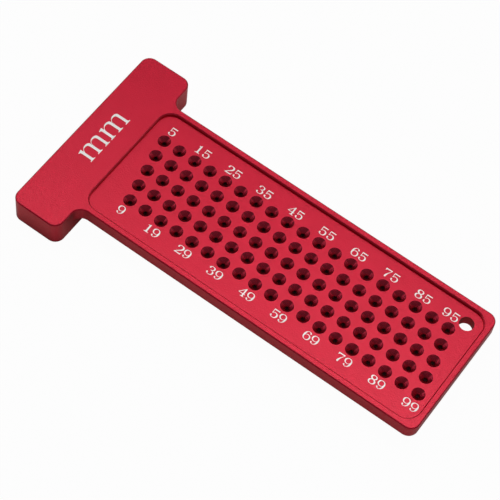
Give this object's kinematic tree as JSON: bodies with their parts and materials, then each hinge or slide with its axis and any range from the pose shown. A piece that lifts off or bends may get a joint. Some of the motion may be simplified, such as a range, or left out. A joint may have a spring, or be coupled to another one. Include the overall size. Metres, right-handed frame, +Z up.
{
  "type": "hole positioning ruler",
  "caption": "T-shaped marking gauge in one piece: a fence head that hooks over a board's edge, and a recessed blade with staggered countersunk scribing holes.",
  "frame": {"origin": "zero of the scale: on the fence face, midway along the head, on the line where the fence face meets the underside of the blade", "axes": "+X along the scale, away from the fence, so that a hole's number is its X in mm; +Y across the blade towards the row of 5 to 95; +Z up, out of the marked side"},
  "size_m": [0.119, 0.058, 0.0085],
  "materials": {
    "red_anodised_aluminium": "bead-blasted and red anodised, satin",
    "white_laser_marks": "flat white marks in the anodised surface, such as the scale's numbers"
  },
  "bodies": {
    "root": {"ruler_body": "red_anodised_aluminium"}
  },
  "joints": []
}
